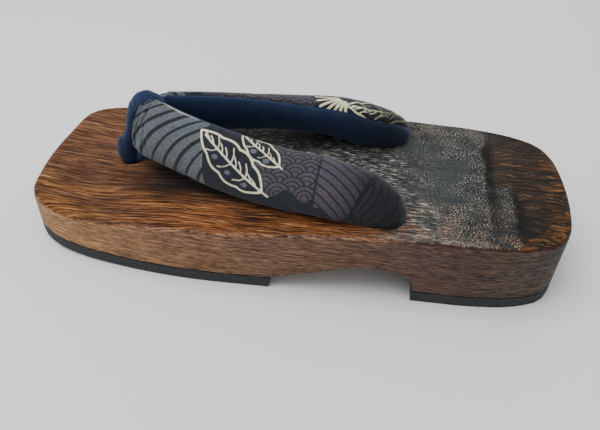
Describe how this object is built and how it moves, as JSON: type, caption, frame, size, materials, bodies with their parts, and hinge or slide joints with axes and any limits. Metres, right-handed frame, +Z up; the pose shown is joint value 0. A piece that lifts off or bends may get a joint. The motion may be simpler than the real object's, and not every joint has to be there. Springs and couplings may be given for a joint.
{
  "type": "geta sandal",
  "caption": "Men's wooden geta sandal: one-piece burnt-wood base with an arched underside, rubber forefoot and heel plates, and a padded V-shaped cloth thong strap held by a navy toe loop.",
  "frame": {"origin": "on the ground under the middle of the sandal's length and width", "axes": "+Z up, the toe towards -Y, the heel towards +Y, +X towards the wearer's left"},
  "size_m": [0.111, 0.262, 0.0661],
  "materials": {
    "burnt_wood": "satin",
    "crumb_rubber": "matte",
    "printed_cloth": "matte",
    "navy_knit": "matte",
    "cotton_cord": "matte"
  },
  "bodies": {
    "root": {"deck": "burnt_wood", "sole_front": "crumb_rubber", "sole_heel": "crumb_rubber", "strap": "printed_cloth", "toe_loop": "navy_knit", "knot_front": "cotton_cord", "knot_rear_left": "cotton_cord", "knot_rear_right": "cotton_cord"}
  },
  "joints": []
}
